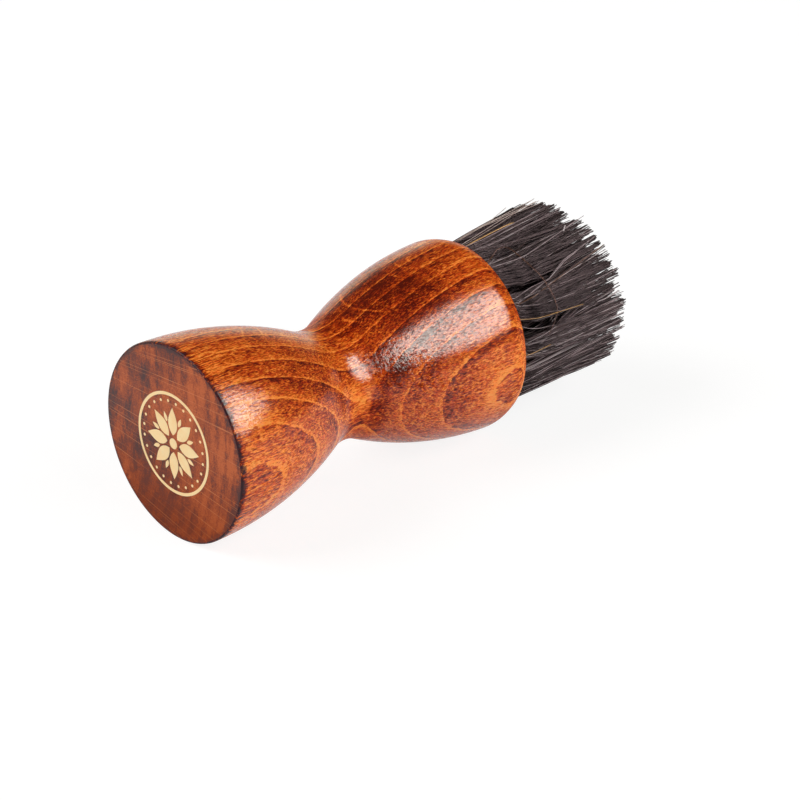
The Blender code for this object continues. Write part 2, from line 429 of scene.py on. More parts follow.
def mesh_object(name, bm):
    """An object of what a bmesh holds, with its faces turned outwards."""
    bmesh.ops.recalc_face_normals(bm, faces=bm.faces)
    mesh = bpy.data.meshes.new(name)
    bm.to_mesh(mesh)
    bm.free()
    return link(bpy.data.objects.new(name, mesh))


def axis_point(x, y, z):
    """A point in metres, from millimetres along the axis from the flat end and beside the axis."""
    return Vector((FLAT_END_X + x, y, AXIS_Z + z)) * MM


def polar(radius, turn):
    """The (y, z) of a place beside the axis, turned from +Y towards +Z."""
    return np.array([radius * math.cos(turn), radius * math.sin(turn)])


def circle(radius, count):
    return np.array([polar(radius, 2 * math.pi * i / count) for i in range(count)])


def rotated(places, turn):
    """(y, z) places turned round the axis."""
    c, s = np.cos(turn), np.sin(turn)
    y, z = places[..., 0], places[..., 1]
    return np.stack([y * c - z * s, y * s + z * c], -1)


# The handle

def handle_radius(x):
    """The radius of the turned outline at a distance from the flat end, without the round of the head."""
    half = HANDLE_LENGTH / 2
    along = abs(x - half)
    joint = HOLLOW_SHARE * half
    slope = 2 * math.atan2(CROWN_RADIUS - WAIST_RADIUS, half)
    if along < joint:
        hollow = joint / math.sin(slope)
        return WAIST_RADIUS + hollow - math.sqrt(hollow**2 - along**2)
    crown = (half - joint) / math.sin(slope)
    return CROWN_RADIUS - crown + math.sqrt(crown**2 - (half - along)**2)


def turned_in(run):
    """How far the round of the head turns inwards over a run along the axis."""
    return HEAD_ROUND_RADIUS - math.sqrt(HEAD_ROUND_RADIUS**2 - run**2)


def face_radius():
    run = HEAD_ROUND_LENGTH - HEAD_EDGE_BREAK
    return handle_radius(HANDLE_LENGTH - HEAD_ROUND_LENGTH) - turned_in(run) - HEAD_EDGE_BREAK


def profile():
    """[(distance from the flat end, radius)] from the edge of the flat end to the edge of the face."""
    points = []
    for i in range(KNOB_EDGE_STEPS + 1):
        turn = math.pi / 2 * i / KNOB_EDGE_STEPS
        inward = KNOB_EDGE_BREAK * (1 - math.sin(turn))
        points.append((KNOB_EDGE_BREAK * (1 - math.cos(turn)), CROWN_RADIUS - inward))
    round_start = HANDLE_LENGTH - HEAD_ROUND_LENGTH
    x = KNOB_EDGE_BREAK + HANDLE_STEP
    while x < round_start - HANDLE_STEP / 2:
        points.append((x, handle_radius(x)))
        x += HANDLE_STEP
    start = handle_radius(round_start)
    for i in range(HEAD_ROUND_STEPS + 1):
        run = (HEAD_ROUND_LENGTH - HEAD_EDGE_BREAK) * i / HEAD_ROUND_STEPS
        points.append((round_start + run, start - turned_in(run)))
    edge_x, edge_radius = points[-1]
    for i in range(1, HEAD_EDGE_STEPS + 1):
        turn = math.pi / 2 * i / HEAD_EDGE_STEPS
        inward = HEAD_EDGE_BREAK * (1 - math.cos(turn))
        points.append((edge_x + HEAD_EDGE_BREAK * math.sin(turn), edge_radius - inward))
    return points


def handle_mesh(rng):
    """The turned form as rings of points, with the flat end and the face each as one flat polygon."""
    points = profile()
    angles = np.arange(HANDLE_SIDES) * 2 * np.pi / HANDLE_SIDES
    waves = [
        (rng.integers(2, 9), rng.uniform(0, 2 * np.pi), rng.uniform(0.08, 0.3))
        for _ in range(TURNING_WAVES)
    ]
    rows = []
    for x, radius in points:
        ripple = sum(np.sin(count * angles + phase + x * drift) for count, phase, drift in waves)
        r = radius + WAVE_HEIGHT * ripple
        rows.append(np.stack([np.full(HANDLE_SIDES, x), r * np.cos(angles), r * np.sin(angles)], 1))
    places = np.concatenate(rows) + np.array([FLAT_END_X, 0, AXIS_Z])
    last = (len(points) - 1) * HANDLE_SIDES
    faces = []
    for first in range(0, last, HANDLE_SIDES):
        second = first + HANDLE_SIDES
        for i in range(HANDLE_SIDES):
            j = (i + 1) % HANDLE_SIDES
            faces.append((first + i, second + i, second + j, first + j))
    faces.append(tuple(range(HANDLE_SIDES)))
    faces.append(tuple(range(last + HANDLE_SIDES - 1, last - 1, -1)))
    mesh = bpy.data.meshes.new("turned_handle")
    mesh.from_pydata((places * MM).tolist(), [], faces)
    mesh.update()
    return mesh


def tuft_places():
    """[(name, ring, angle)] as in the CAD source; the angle is from +Y towards +Z."""
    found = [("centre", 0, 0.0)]
    for ring, word in ((1, "middle"), (2, "outer")):
        count = 6 * ring
        for i in range(count):
            angle = RING_TURN + 2 * math.pi * i / count - math.pi / 2
            found.append((f"{word}_{i + 1:02d}", ring, angle))
    return found


def outer_ring_radius():
    return face_radius() - RIM_WALL - HOLE_RADIUS


def root_place(ring, angle):
    return polar(outer_ring_radius() * ring / 2, angle)


def hole_cutter():
    """The nineteen drilled holes as one object."""
    bm = bmesh.new()
    for _, ring, angle in tuft_places():
        middle = axis_point(HANDLE_LENGTH, *root_place(ring, angle))
        top, bottom = (
            [bm.verts.new(middle + Vector((along, y, z)) * MM) for y, z in circle(HOLE_RADIUS, HOLE_SIDES)]
            for along in (1.0, -HOLE_DEPTH)
        )
        tip = bm.verts.new(middle - Vector((HOLE_DEPTH + DRILL_POINT, 0, 0)) * MM)
        bm.faces.new(top)
        for i in range(HOLE_SIDES):
            j = (i + 1) % HOLE_SIDES
            bm.faces.new((top[j], top[i], bottom[i], bottom[j]))
            bm.faces.new((bottom[j], bottom[i], tip))
    return mesh_object("holes", bm)


def apply_modifiers(obj):
    """Makes what the modifiers show the mesh itself."""
    depsgraph = bpy.context.evaluated_depsgraph_get()
    made = bpy.data.meshes.new_from_object(obj.evaluated_get(depsgraph))
    obj.modifiers.clear()
    old = obj.data
    obj.data = made
    bpy.data.meshes.remove(old)


def make_handle(side, end):
    """The handle with its holes: one finish on the turned side, the other wherever the grain is cut."""
    obj = link(bpy.data.objects.new("turned_handle", handle_mesh(np.random.default_rng(HANDLE_SEED))))
    cutter = hole_cutter()
    modifier = obj.modifiers.new("holes", "BOOLEAN")
    modifier.operation = "DIFFERENCE"
    modifier.solver = "EXACT"
    modifier.object = cutter
    apply_modifiers(obj)
    bpy.data.objects.remove(cutter, do_unlink=True)
    mesh = obj.data
    mesh.materials.clear()
    mesh.materials.append(side)
    mesh.materials.append(end)
    centres = np.array([root_place(ring, angle) for _, ring, angle in tuft_places()])
    for polygon in mesh.polygons:
        x, y, z = polygon.center / MM - Vector((FLAT_END_X, 0, AXIS_Z))
        flat = abs(polygon.normal.x) > 0.999
        deep = x > HANDLE_LENGTH - HOLE_DEPTH - DRILL_POINT
        in_hole = deep and np.hypot(*(centres - (y, z)).T).min() < HOLE_RADIUS + 0.05
        polygon.material_index = int(flat or in_hole)
    mesh.shade_smooth()
    mesh.set_sharp_from_angle(angle=math.radians(30))
    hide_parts("handle")
    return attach(obj, "root")


# The wood

def wood_place(n):
    """The place on the wood in millimetres, from the middle of the flat end."""
    at = n.add("TexCoord", output="Object")
    return n.vector("MULTIPLY_ADD", at, (1 / MM,) * 3, (-FLAT_END_X, 0.0, -AXIS_Z))


def grain_place(n):
    """(place from the flat end, place in the tree, along the axis, depth towards the bark)."""
    at = wood_place(n)
    along = n.dot(at, (1.0, 0.0, 0.0))
    depth, turn = from_pith(n, at, BARK_SIDE, PITH_DISTANCE)
    return at, n.add("CombineXYZ", {"X": along, "Y": depth, "Z": turn}), along, depth


def from_pith(n, at, side, distance):
    """(outwards, round) of a point in millimetres, seen from a pith line at a distance from the axis."""
    out_way = Vector((0.0, math.cos(side), math.sin(side)))
    across_way = Vector((0.0, -out_way.z, out_way.y))
    out = n.dot(at, out_way) + distance
    across = n.dot(at, across_way)
    away = n.math("SQRT", out * out + across * across)
    return away - distance, n.math("ARCTAN2", across, out) * distance


def ring_share(n, grain, depth):
    """(how far a point is through its growth ring, from 0 on the bright line to 1, the ring's number)."""
    slow = n.swing(grain, (0.05, 0.03, 0.07), 1.0, shift=3.1) * 0.9
    quick = n.swing(grain, (0.45, 0.3, 1.1), 3.0, 0.6, shift=7.7) * 0.42
    wavy = depth + slow + quick
    inside = n.math("MULTIPLY_ADD", FIRST_RING - wavy, 4 * RING_GROWTH, RING_WIDTH**2)
    count = n.math("DIVIDE", n.math("SQRT", inside) - RING_WIDTH, 2 * RING_GROWTH)
    return n.math("FRACT", count), n.math("FLOOR", count)


def ring_marks(n, at, grain, depth):
    """(how dark the late wood is, how bright the line between two rings is), from 0 to 1."""
    share, number = ring_share(n, grain, depth)
    ring_tone = n.add("TexWhiteNoise", {"W": number}, noise_dimensions="1D")
    calm = n.span(n.distance(at, surface_place(*CALM_PLACE)), *CALM_REACH, 0.25, 1.0, smooth=True)
    broken = n.span(n.noise(grain, (0.3, 0.3, 0.6), 3.0, shift=11.0), 0.35, 0.6, 0.35, 1.0)
    late = n.curve(share, LATE_STOPS) * n.span(ring_tone, 0, 1, 0.4, 1.0) * calm
    return late, n.curve(share, LINE_STOPS) * broken * calm


def surface_place(along, angle):
    """A point on the turned side, in millimetres from the flat end's middle."""
    return along, *polar(handle_radius(along), math.radians(angle))


def turn_angle(n, at):
    """The angle round the axis from +Y towards +Z, in degrees from -180 to 180."""
    _, y, z = n.parts(at)
    return n.math("ARCTAN2", z, y) * (180 / math.pi)


def girth_marks(n, at, along, angle):
    """1 on the thin pale marks round the girth, else 0."""
    place = along + n.swing(at, (0.3, 0.3, 0.3), 2.0, shift=14.0) * 0.5
    total = 0.0
    for middle, low_angle, bend, first, last in GIRTH_MARKS:
        away = (angle - low_angle) * 0.1
        off = abs(place - n.math("MULTIPLY_ADD", away * away, bend, middle))
        mark = n.span(off, 0.05, 0.40, 1.0, 0.0) * n.span(angle, first, first + 8)
        mark *= n.span(angle, last - 8, last, 1.0, 0.0)
        total = n.math("MAXIMUM", total, mark)
    return total


def crackles(n, along, angle, mottle):
    """1 where the lacquer is rough, fading to 0 round it."""
    start, end, middle, turn, half = CRACKLE
    place = along + mottle * 2.0 - (angle - middle) * GLOW_TURN
    fade = n.span(place, end - CRACKLE_FADE, end, 1.0, 0.0, smooth=True)
    off = abs(angle - n.math("MULTIPLY_ADD", along - start, turn, middle))
    across = n.span(off, half - CRACKLE_FADE, half, 1.0, 0.0, smooth=True)
    return n.span(place, start, start + 0.8) * fade * across


def waist_shade(n, along, angle, mottle):
    """1 on the dark side of the waist, from a sharp line that only the lower front has."""
    place = along + mottle * 1.2
    shade = n.span(place, WAIST_STEP, WAIST_STEP + 0.5) * n.span(place, *WAIST_FADE, 1.0, 0.0)
    above = n.math("GREATER_THAN", angle, 0.0) * n.span(angle, 158, 166)
    off = abs(abs(angle) - 174)
    below = n.math("LESS_THAN", angle, 0.0) * n.span(off, 6, 26, 1.0, 0.0)
    return shade * (above + below)


def waist_glow(n, along, angle):
    """(1 on the shining strip of the waist, 1 on the dull wood beside it)."""
    line = n.math("MULTIPLY_ADD", angle - GLOW_ANGLE, GLOW_TURN, GLOW_PLACE)
    beside = n.span(abs(along - line), 0.9, 1.7)
    near = n.span(abs(along - GLOW_PLACE), 3.0, 5.0, 1.0, 0.0)
    return (1.0 - beside) * near, beside * near


def varnish(n, weight, roughness, height):
    """A clear coat whose surface follows a height in metres."""
    normal = n.bump(height, 1.0)
    return n.look(
        Roughness=0.5, Specular_IOR_Level=0.02, Normal=normal, Coat_Weight=weight,
        Coat_Roughness=roughness, Coat_IOR=1.5, Coat_Normal=normal,
    )


def side_wood():
    """Stained and lacquered beech on the turned side."""
    n = material_nodes("stained_wood")
    at, grain, along, depth = grain_place(n)
    angle = turn_angle(n, at)
    late, line = ring_marks(n, at, grain, depth)
    mottle = n.swing(grain, (0.22, 0.45, 0.45), 2.0, 0.5, shift=1.3)
    streak = n.noise(grain, (0.5, 1.9, 1.9), 2.0, 0.55, shift=4.9)
    streak = n.span(streak, 0.38, 0.66, -0.3, 1.0, smooth=True)
    patch = n.span(n.noise(grain, (0.15, 0.4, 0.4), 1.0, shift=31.0), 0.35, 0.65, 0.75, 1.3)
    speck = n.swing(grain, (1.1, 5.4, 5.4), 3.0, 0.62, shift=9.4) * patch
    fibre = n.swing(grain, (0.20, 5.0, 5.0), 2.0, 0.6, shift=15.5)
    pit = n.noise(grain, (1.2, 4.8, 4.8), 3.0, 0.65, shift=8.8)
    near_knob_edge = n.span(along, 1, 12, 1.0, 0.0)
    rim = n.span(along, 0.1, 1.3, 1.0, 0.0)
    nicks = n.span(n.noise(grain, (0.9, 1.6, 1.6), 2.0, shift=2.2), 0.42, 0.6)

    # Each factor is how much that feature darkens the stain
    stain_and_painted_light = (
        0.310 + late * 0.26 + n.span(pit, 0.40, 0.50, 0.26, 0.0) + (late + 0.3) * streak * 0.30
        - line * 0.44 + mottle * 0.6 + speck * 2.1 + fibre * (0.6 + near_knob_edge * 1.8)
        + rim * (nicks * 0.65 + 0.35) * 0.9
    )
    # Darker and paler patches; the paler ones marked in TONES are painted reflection and a painted
    # highlight.
    for place, side, reach, amount in TONES:
        stain_and_painted_light += n.span(n.distance(at, surface_place(place, side)), 0, reach, amount, 0, smooth=True)
    stain_and_painted_light -= girth_marks(n, at, along, angle) * 0.44
    stain_and_painted_light += waist_shade(n, along, angle, mottle) * 0.26
    red = 0.5 + (
        n.swing(grain, (0.7, 2.2, 2.2), 2.0, 0.6, shift=21.0) * 2.6
        + n.swing(grain, (2.0, 5.5, 5.5), 2.0, 0.6, shift=27.0) * 2.4
    )
    colour = n.mix(red, n.ramp(stain_and_painted_light, AMBER_STAIN), n.ramp(stain_and_painted_light, RED_STAIN))
    ragged = along + n.swing(grain, (0.6, 1.1, 1.1), 3.0, 0.65, shift=35.0) * 4.0
    n.look(Base_Color=n.mix(n.span(ragged, 0.05, 0.60, 0.85, 0.0), colour, SCORCHED))

    # The lacquer: thin over pits, rough or shining beside the waist, and worn at both edges
    rough = crackles(n, along, angle, mottle)
    glow, beside_glow = waist_glow(n, along, angle)
    pit += n.swing(grain, (0.12, 0.2, 0.2), 2.0, shift=2.6) * 0.15
    pit += n.swing(grain, (1.0, 1.4, 1.4), 2.0, shift=6.6) * (0.2 + rough)
    pit += fibre * (near_knob_edge * 0.9)
    in_pits = 0.30 - rough * 0.22 + glow * 0.20
    worn = n.span(along + mottle * 3.0, HANDLE_LENGTH - 4.2, HANDLE_LENGTH - 2.0, 1.0, 0.35)
    gloss = n.span(pit, 0.38, 0.52, in_pits, 1.0) * worn
    gloss = gloss * (1.0 - beside_glow * 0.7) * (1.0 - rim * 0.6)

    # Its bumps, in metres
    near_waist = n.span(abs(along - 38), 2, 10, 1.0, 0.0)
    height = n.noise(grain, (2.0, 5.0, 5.0), 2.0, 0.6, shift=5.5) * 0.000017 + gloss * 0.000004
    height += n.noise(grain, (0.9, 1.3, 1.3), 2.0, 0.6, shift=18.0) * 0.00006 * near_waist
    height += n.noise(at, (2.6, 1.5, 1.5), 2.0, 0.6, shift=23.0) * rough * 0.00009
    height += fibre * (0.000006 + near_knob_edge * 0.00003)
    return varnish(n, gloss, 0.08, height)


def end_wood():
    """Stained beech where the grain is cut across: the flat end, the face and the holes, with painted shade
    on the face and in the holes.
    """
    n = material_nodes("stained_end_grain")
    at, grain, along, depth = grain_place(n)
    _, y, z = n.parts(at)
    share, _ = ring_share(n, grain, depth)
    ray_out, ray_round = from_pith(n, at, RAY_SIDE, RAY_DISTANCE)
    ray_grain = n.add("CombineXYZ", {"X": ray_out, "Y": ray_round, "Z": 0.0})
    broken = n.span(n.noise(ray_grain, (0.15, 0.8, 1.0), 2.0, shift=12.0), 0.35, 0.65, 0.25, 1.0)
    ray = n.span(n.noise(ray_grain, (0.02, 4.0, 1.0), 1.0, 0.7, shift=6.2), 0.635, 0.68) * broken
    fleck = n.span(n.noise(ray_grain, (1.7, 0.6, 1.0), 4.0, 0.62, shift=4.4), 0.33, 0.69, 0.05, 1.10)
    pores = n.span(n.noise(at, (1.0, 4.4, 4.4), 3.0, 0.75, shift=9.4), 0.40, 0.64)
    cloud = n.swing(at, (0.1, 0.12, 0.12), 3.0, shift=1.3)
    ragged = n.math("SQRT", y * y + z * z) + n.swing(at, (0.5, 0.7, 0.7), 3.0, shift=2.9) * 2.2
    ragged += n.span(y, -CROWN_RADIUS, 0, 0.5, 0.0)

    stain_and_painted_light = (n.curve(share, BAND_STOPS) + 0.35) * fleck * 0.44 + pores * 0.44
    stain_and_painted_light += 0.08 + cloud * 2.0
    # Painted shade: the face of the head and the holes in it are darker, as under the hair.
    stain_and_painted_light += n.math("GREATER_THAN", along, HANDLE_LENGTH / 2) * 0.4
    stain_and_painted_light += n.span(ragged, CROWN_RADIUS - 1.1, CROWN_RADIUS - 0.2, 0.0, 0.5, smooth=True)
    colour = n.mix(ray * 0.7, n.ramp(stain_and_painted_light, END_STAIN), RAY_COLOUR)
    n.look(Base_Color=n.mix(n.span(z, -14.0, -2.0, 0.5, 0.0), colour, LOW_END_COLOUR))
    grooves = n.noise(ray_grain, (0.4, 2.6, 1.0), 3.0, shift=3.3) * 0.00002
    return varnish(n, n.span(z, -14.0, 2.0, 0.05, 0.42), 0.25, grooves + pores * -0.000008)


# The hair

def tip_place(ring, angle):
    """Where the middle of a tuft ends, beside the axis."""
    return polar((TIP_REACH - TIP_INSET) * ring / 2, angle) + LEAN


def spiral(count):
    """Places spread evenly over a disc of radius 1."""
    i = np.arange(count)
    out = np.sqrt((i + 0.5) / count)
    return out[:, None] * np.stack([np.cos(i * GOLDEN_ANGLE), np.sin(i * GOLDEN_ANGLE)], 1)


def within(place, middle, reach):
    """Places pulled back inside a circle."""
    out = place - middle
    far = np.linalg.norm(out, axis=1, keepdims=True)
    return middle + out * np.minimum(1, reach / far)


def trimmed(tip):
    """How short of the full length the hairs end whose tips are at (y, z): the trim isn't quite square."""
    return TRIM_MIDDLE + (tip[:, 1] * TRIM_UP + tip[:, 0] * TRIM_BACK) / TIP_REACH


def hair_ends(rng, ring, angle):
    """(starts, ends, how short, lock) of one tuft's hairs: locks of near-parallel hairs, and strays."""
    count = HAIRS_PER_TUFT
    spot = spiral(count) + rng.normal(0, 0.02, (count, 2))
    locks = spiral(LOCKS) + rng.normal(0, 0.06, (LOCKS, 2))
    lock = np.argmin(((spot[:, None] - locks[None])**2).sum(2), 1)
    start = root_place(ring, angle) + within(spot, (0, 0), 1.0) * ROOT_REACH
    gather = rng.uniform(0.45, 0.85, LOCKS)[lock][:, None]
    sway = rng.normal(0, LOCK_SWAY, (LOCKS, 2))[lock]
    spread = spot * (1 - gather) + locks[lock] * gather
    end = tip_place(ring, angle) + spread * TIP_SPREAD + sway + rng.normal(0, HAIR_SWAY, (count, 2))
    stray = rng.random(count) < STRAY_SHARE
    end[stray] += np.clip(rng.normal(0, STRAY_SWAY, (stray.sum(), 2)), -STRAY_LIMIT, STRAY_LIMIT)
    pointed = np.linalg.norm(spot - locks[lock], axis=1) * LOCK_POINT
    short = rng.uniform(-0.7, 0.5, LOCKS)[lock] + pointed + rng.exponential(0.06, count)
    cut = rng.random(count) < CUT_SHARE
    short[cut] += rng.uniform(1, 8, cut.sum())
    if ring == 2:
        crossing = np.argsort(-spot @ (math.cos(angle), math.sin(angle)))[:CROSSING_HAIRS]
        wisp = np.arange(CROSSING_HAIRS) % WISPS
        way = angle + rng.normal(0, 0.24, WISPS)[wisp] + rng.normal(0, 0.010, CROSSING_HAIRS)
        out = TIP_REACH - rng.uniform(0, 0.5, WISPS)[wisp] - rng.uniform(0, 0.15, CROSSING_HAIRS)
        short[crossing] = rng.uniform(-0.5, 0.7, WISPS)[wisp] + rng.exponential(0.12, CROSSING_HAIRS)
        end[crossing] = LEAN + np.stack([np.cos(way), np.sin(way)], 1) * out[:, None]
    end = within(end, LEAN, TIP_REACH + 0.2)
    inward = 1 - np.linalg.norm(end - LEAN, axis=1) / TIP_REACH
    return start, end, short + INWARD_TRIM * inward, lock


def hair_path(rng, start, end, short, ring, angle):
    """Points of the hairs from the root to the tip, as [hair, step, (along from the face, y, z)]."""
    count = len(start)
    length = BRISTLE_LENGTH - np.maximum(trimmed(end) + short, -0.3)
    along = ROOT_DEPTH + (length - ROOT_DEPTH)[:, None] * np.array(HAIR_STEPS)
    share = np.clip(along / BRISTLE_LENGTH, 0, 1.1)
    across = start[:, None] + (end - start)[:, None] * share[..., None]
    turn = rng.uniform(2.0, 5.0, (count, 1)) * share + rng.uniform(0, 6.28, (count, 1))
    across += rng.normal(0, HAIR_WAVE, (count, 1, 2)) * (np.sin(turn) * share)[..., None]
    across += rng.normal(0, HAIR_BOW, (count, 1, 2)) * (share * (1 - share) * 4)[..., None]
    across = fanned(across, along, share, ring, angle)
    if ring == 2:
        across = apart(across, along, angle)
    middle = share[..., None] * LEAN
    across = twisted(across - middle, along) + middle
    limit = (outer_ring_radius() + ROOT_REACH) * (1 - share) + TIP_REACH * share
    loose = rng.uniform(-0.45, 0.15, count) + (rng.random(count) < 0.02) * rng.uniform(0.2, 0.9, count)
    limit = limit + loose[:, None] * np.minimum(1, 3 * np.maximum(share, 0))
    out = across - middle
    far = np.linalg.norm(out, axis=2)
    across = middle + out * np.minimum(1, limit / far)[..., None]
    return np.concatenate([along[..., None], across], 2)


def begun(along):
    """0 at the face of the head, and 1 once the hairs have turned and spread."""
    return np.clip(along / TWIST_LENGTH, 0, 1)


def fanned(across, along, share, ring, angle):
    """Spreads a tuft as it leaves its hole, an outer one only sideways, to meet its neighbours."""
    root, tip = root_place(ring, angle), tip_place(ring, angle)
    out = across - (root + (tip - root) * share[..., None])
    if ring < 2:
        return across + out * (INNER_FAN * begun(along) * (1 - share))[..., None]
    side_way = np.array([-math.sin(angle), math.cos(angle)])
    return across + ((out @ side_way) * (FAN * begun(along) * (1 - share)))[..., None] * side_way


def apart(across, along, angle):
    """Keeps the hairs of an outer tuft clear of its neighbours near the roots, for the dark wedges."""
    for side in (-1, 1):
        between = math.degrees(angle) + side * 15
        gap, length = next((row[1:] for row in WEDGES if abs(row[0] - between) < 1), OTHER_WEDGE)
        parting = math.radians(between) + PARTING_TURN
        own_side = np.array([math.sin(parting), -math.cos(parting)]) * side
        clear = 0.5 * gap * (1 - along / length) * np.clip(along / WEDGE_START, 0, 1)
        short_of = np.where(clear > 0, np.maximum(clear - across @ own_side, 0), 0)
        across = across + short_of[..., None] * own_side
    return across


def twisted(across, along):
    """Turns the hairs round the axis a little, over their first millimetres outside the head."""
    return rotated(across, TWIST * begun(along)**2 * (3 - 2 * begun(along)))


def single_hairs(name):
    """(lines, thickness, pale, brown) of the hairs that stand out and belong to a tuft."""
    found = [row for row in SINGLE_HAIRS if row[0] == name]
    lines = []
    for *_, points in found:
        along, turn, out = np.array(points).T
        middle = along[:, None] / BRISTLE_LENGTH * LEAN
        turn = np.radians(turn)
        across = middle + out[:, None] * np.stack([np.cos(turn), np.sin(turn)], 1)
        lines.append(smooth_path(np.concatenate([along[:, None], across], 1), 2 * len(HAIR_STEPS) - 1))
    return np.array(lines), *(np.array([row[k] for row in found]) for k in (3, 2, 1))


def smooth_path(places, count):
    """A curve of a given number of points through a few places."""
    ends = np.concatenate([[2 * places[0] - places[1]], places, [2 * places[-1] - places[-2]]])
    at = np.linspace(0, len(places) - 1, count)
    whole = np.minimum(at.astype(int), len(places) - 2)
    t = (at - whole)[:, None]
    a, b, c, d = (ends[whole + k] for k in range(4))
    return 0.5 * (2 * b + (c - a) * t + (2 * a - 5 * b + 4 * c - d) * t**2 + (3 * b - a - 3 * c + d) * t**3)


def tubes(lines, radii):
    """(places, quads, tips) of thin tubes: one ring of points a step, and a flat cap at each tip."""
    count, steps, _ = lines.shape
    tangent = np.gradient(lines, axis=1)
    tangent /= np.linalg.norm(tangent, axis=2, keepdims=True)
    one = np.cross(tangent, np.array([0.0, 0.0, 1.0]))
    one /= np.linalg.norm(one, axis=2, keepdims=True)
    two = np.cross(tangent, one)
    turns = (np.arange(HAIR_SIDES) * 2 * np.pi / HAIR_SIDES)[None, None, :, None]
    spokes = np.cos(turns) * one[:, :, None] + np.sin(turns) * two[:, :, None]
    places = lines[:, :, None] + spokes * radii[:, :, None, None]
    i = np.arange(HAIR_SIDES)
    j = (i + 1) % HAIR_SIDES
    first = np.arange(count)[:, None, None] * steps * HAIR_SIDES
    low = first + np.arange(steps - 1)[None, :, None] * HAIR_SIDES
    high = low + HAIR_SIDES
    quads = np.stack([low + i, low + j, high + j, high + i], 3)
    tips = first[:, 0] + (steps - 1) * HAIR_SIDES + i
    return places.reshape(-1, 3), quads.reshape(-1, 4), tips


def cell_maps(first, count, steps):
    """(map places of the quads' corners, of the tips' corners): one strip of the bake map for each hair."""
    columns, rows = HAIR_CELLS
    cell = first + np.arange(count)
    left = (cell % columns + 0.06) / columns
    low = (cell // columns + 0.03) / rows * HAIR_MAP_SHARE
    wide, high = 0.88 / columns, 0.90 / rows * HAIR_MAP_SHARE
    step = np.arange(steps - 1)[None, :, None, None]
    side = np.arange(HAIR_SIDES)[None, None, :, None]
    u = left[:, None, None, None] + wide * (side + np.array([0.06, 0.94, 0.94, 0.06])) / HAIR_SIDES
    v = low[:, None, None, None] + high * (step + np.array([0, 0, 1, 1])) / (steps - 1)
    u, v = np.broadcast_arrays(u, v)
    tip_u = left[:, None] + wide * np.array([0.1, 0.9, 0.5])
    tip_v = low[:, None] + high * 1.005 + 0.05 / rows * np.array([0, 0, 1])
    return np.stack([u, v], -1).reshape(-1, 2), np.stack([tip_u, tip_v], -1).reshape(-1, 2)


def root_plug(name):
    """(places, faces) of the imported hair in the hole, with its anchor's tunnel, as the CAD node has it."""
    bm = bmesh.new()
    bm.from_mesh(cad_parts[f"tuft_{name}"].data)
    bmesh.ops.remove_doubles(bm, verts=bm.verts, dist=1e-7)
    cut = bmesh.ops.bisect_plane(
        bm, geom=[*bm.verts, *bm.edges, *bm.faces], clear_outer=True,
        plane_co=(axis_point(HANDLE_LENGTH + PLUG_TOP, 0, 0).x, 0, 0), plane_no=(1, 0, 0),
    )
    edges = [part for part in cut["geom_cut"] if isinstance(part, bmesh.types.BMEdge)]
    bmesh.ops.contextual_create(bm, geom=edges)
    bm.verts.index_update()
    places = [tuple(v.co) for v in bm.verts]
    faces = [tuple(v.index for v in face.verts) for face in bm.faces]
    bm.free()
    return places, faces


def plug_map(places, faces):
    """Map places for the plug's corners, side by side in the strip that the hairs leave free."""
    size = [0.8 / len(faces), 0.9 * (1 - HAIR_MAP_SHARE)]
    corners = []
    for k, face in enumerate(faces):
        points = np.array([places[i] for i in face]) / MM
        one = points[1] - points[0]
        one /= np.linalg.norm(one)
        normal = np.cross(one, points[-1] - points[0])
        two = np.cross(normal / np.linalg.norm(normal), one)
        flat = np.stack([points @ one, points @ two], 1)
        flat -= flat.min(0)
        flat /= np.maximum(flat.max(0), 1e-6)
        corners.append(flat * size + [k / len(faces), HAIR_MAP_SHARE])
    return np.concatenate(corners)


def hair_tones(rng, lock, ring, angle):
    """(how pale, how brown) each hair is: most are black, some pale grey as painted glints, a few brown."""
    count = len(lock)
    painted_glint_share = PAINTED_GLINT_SHARE + (MORE_PAINTED_GLINTS * max(0.0, math.cos(angle - PAINTED_GLINT_SIDE))**3 if ring == 2 else 0.0)
    pale = rng.beta(0.9, 2.6, count) * 0.58 + rng.normal(-0.07, 0.11, LOCKS)[lock]
    # Pale grey hairs as painted glints, most on the low front side.
    painted_glint = rng.random(count) < painted_glint_share
    pale[painted_glint] = rng.uniform(0.6, 0.95, painted_glint.sum())
    brown = (rng.random(count) < BROWN_SHARE).astype(float)
    pale[brown > 0] *= 0.5
    return np.clip(pale, 0, 1), brown


def hair_groups(rng, name, ring, angle):
    """[(paths, widths, pale, brown)] of a tuft's common hairs and of those that stand out."""
    start, end, short, lock = hair_ends(rng, ring, angle)
    pale, brown = hair_tones(rng, lock, ring, angle)
    lines, thick, single_pale, single_brown = single_hairs(name)
    keep = HAIRS_PER_TUFT - len(lines)
    taper = np.array(HAIR_TAPER)[None, :] * rng.uniform(0.75, 1.2, (HAIRS_PER_TUFT, 1))
    taper = taper * (1.0 if ring == 2 else INNER_THICKNESS)
    paths = hair_path(rng, start, end, short, ring, angle)
    groups = [(paths[:keep], taper[:keep], pale[:keep], brown[:keep])]
    if len(lines):
        single_taper = np.interp(np.linspace(0, 1, lines.shape[1]), HAIR_STEPS, HAIR_TAPER)
        groups.append((lines, thick[:, None] * single_taper, single_pale, single_brown))
    return groups


